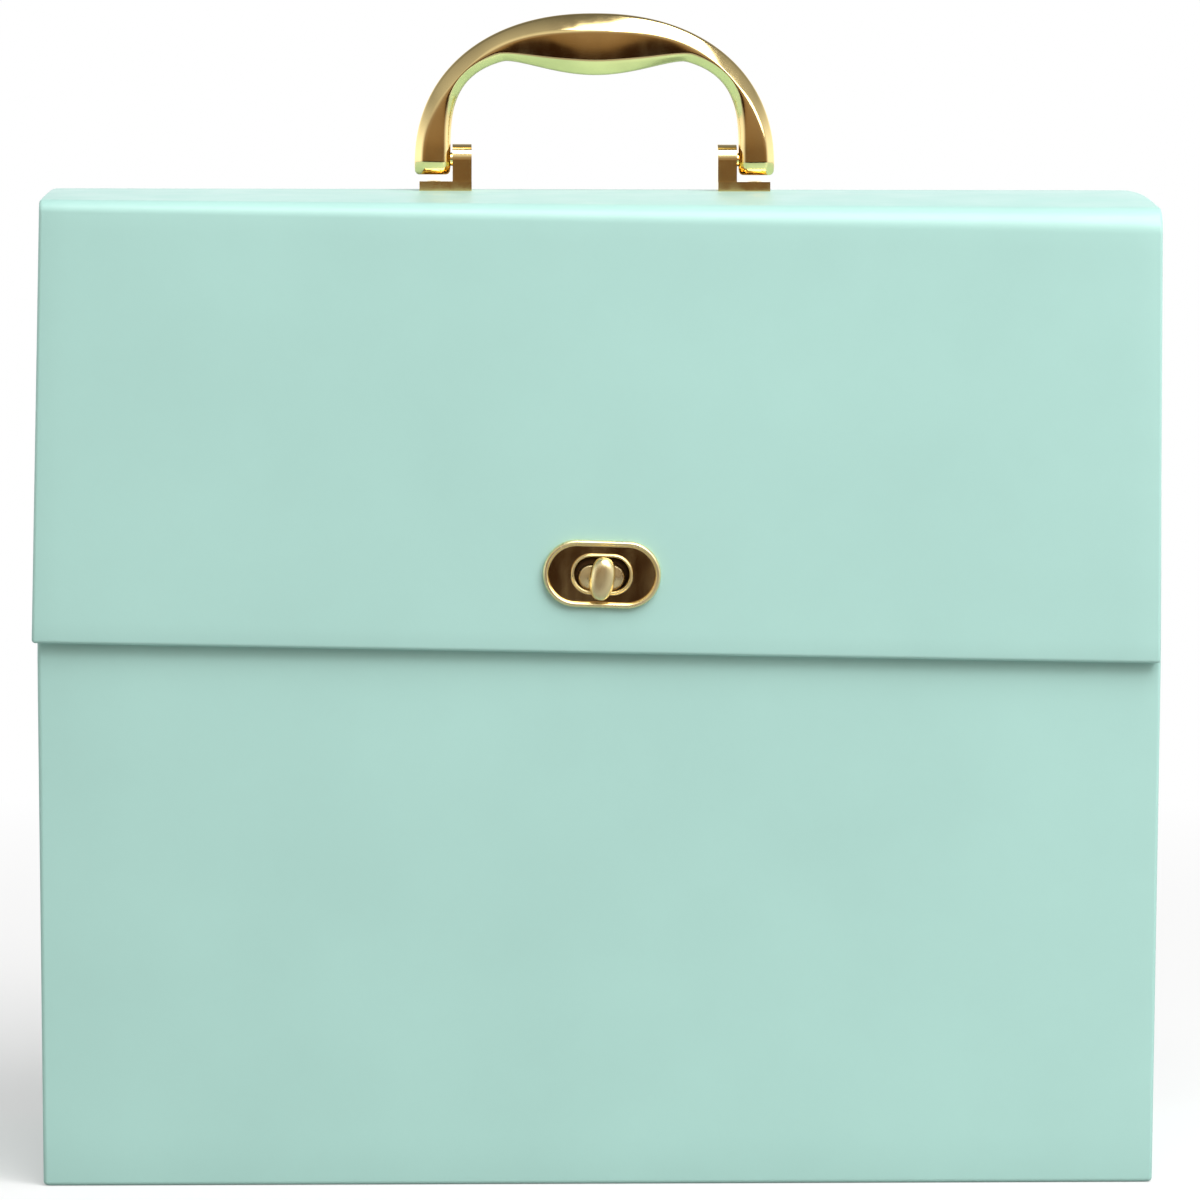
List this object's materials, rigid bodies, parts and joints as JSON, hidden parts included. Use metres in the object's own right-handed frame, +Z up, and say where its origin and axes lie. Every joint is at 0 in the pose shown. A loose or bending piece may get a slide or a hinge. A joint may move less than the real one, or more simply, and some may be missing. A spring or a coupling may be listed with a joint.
{
  "type": "sewing box",
  "caption": "Upright mint board sewing box with a folding lid and front flap, gold turn lock, gold bail handle and stacked lift-out trays inside.",
  "frame": {"origin": "centre of the face that the case stands on", "axes": "+Z up, +X to the right of someone facing the front, -Y towards them"},
  "size_m": [0.325, 0.1397, 0.3383],
  "materials": {
    "mint_paper": "satin",
    "case_board": "matte",
    "lining_paper": "matte",
    "tray_board": "matte",
    "ledge_wood": "matte",
    "gold_metal": "polished",
    "steel": "satin",
    "ribbon": "satin"
  },
  "bodies": {
    "case": {"back_lining": "lining_paper", "back_wall": "case_board", "base_board": "case_board", "base_paper": "mint_paper", "case_wrap": "mint_paper", "floor_lining": "lining_paper", "front_lining": "lining_paper", "front_wall": "case_board", "left_ledge": "ledge_wood", "left_lining": "lining_paper", "left_wall": "case_board", "lock_backing_plate": "steel", "lock_rivets": "steel", "lock_turret": "gold_metal", "rear_hinge_strip": "mint_paper", "rear_partition": "case_board", "right_ledge": "ledge_wood", "right_lining": "lining_paper", "right_wall": "case_board"},
    "turn_button": {"turn_knob": "gold_metal", "button_spindle": "steel", "spindle_washer": "steel"},
    "lid": {"bracket_rivets": "gold_metal", "front_fold_strip": "mint_paper", "left_backing_plate": "steel", "left_bracket": "gold_metal", "left_pivot_pin": "gold_metal", "lid_board": "case_board", "lid_lining": "lining_paper", "lid_wrap": "mint_paper", "right_backing_plate": "steel", "right_bracket": "gold_metal", "right_pivot_pin": "gold_metal"},
    "flap": {"flap_board": "case_board", "flap_wrap": "mint_paper", "flap_lining": "lining_paper", "lock_face_plate": "gold_metal", "face_plate_prongs": "steel"},
    "bail": {"handle": "gold_metal"},
    "upper_tray": {"upper_tray_back": "tray_board", "upper_tray_floor": "tray_board", "upper_tray_front": "tray_board", "upper_tray_left": "tray_board", "upper_tray_left_cross_divider": "tray_board", "upper_tray_left_divider": "tray_board", "upper_tray_ribbons": "ribbon", "upper_tray_right": "tray_board", "upper_tray_right_cross_divider": "tray_board", "upper_tray_right_divider": "tray_board"},
    "lower_tray": {"lower_tray_back": "tray_board", "lower_tray_divider": "tray_board", "lower_tray_floor": "tray_board", "lower_tray_front": "tray_board", "lower_tray_left": "tray_board", "lower_tray_ribbons": "ribbon", "lower_tray_right": "tray_board"}
  },
  "joints": [
    {"name": "lid_hinge", "type": "hinge", "parent": "case", "child": "lid", "pos_m": [0, 0.065, 0.28], "axis": [-1, 0, 0], "range_deg": [0, 110], "deforming": ["rear_hinge_strip"]},
    {"name": "flap_fold", "type": "hinge", "parent": "lid", "child": "flap", "pos_m": [0, -0.0678, 0.2828], "axis": [-1, 0, 0], "range_deg": [0, 90], "deforming": ["front_fold_strip"]},
    {"name": "button_turn", "type": "hinge", "parent": "case", "child": "turn_button", "pos_m": [0, -0.071, 0.1768], "axis": [0, -1, 0], "range_deg": [0, 83]},
    {"name": "handle_swing", "type": "hinge", "parent": "lid", "child": "bail", "pos_m": [0, 0, 0.2952], "axis": [-1, 0, 0], "range_deg": [-90, 90]},
    {"name": "upper_tray_lift", "type": "slide", "parent": "case", "child": "upper_tray", "axis": [0, 0, 1], "range_m": [0, 0.073]},
    {"name": "lower_tray_lift", "type": "slide", "parent": "case", "child": "lower_tray", "axis": [0, 0, 1], "range_m": [0, 0.0538]}
  ],
  "couplings": [
    {"joint": "upper_tray_lift", "follows": "lid_hinge", "m_per_rad": 0.038},
    {"joint": "lower_tray_lift", "follows": "lid_hinge", "m_per_rad": 0.028}
  ]
}
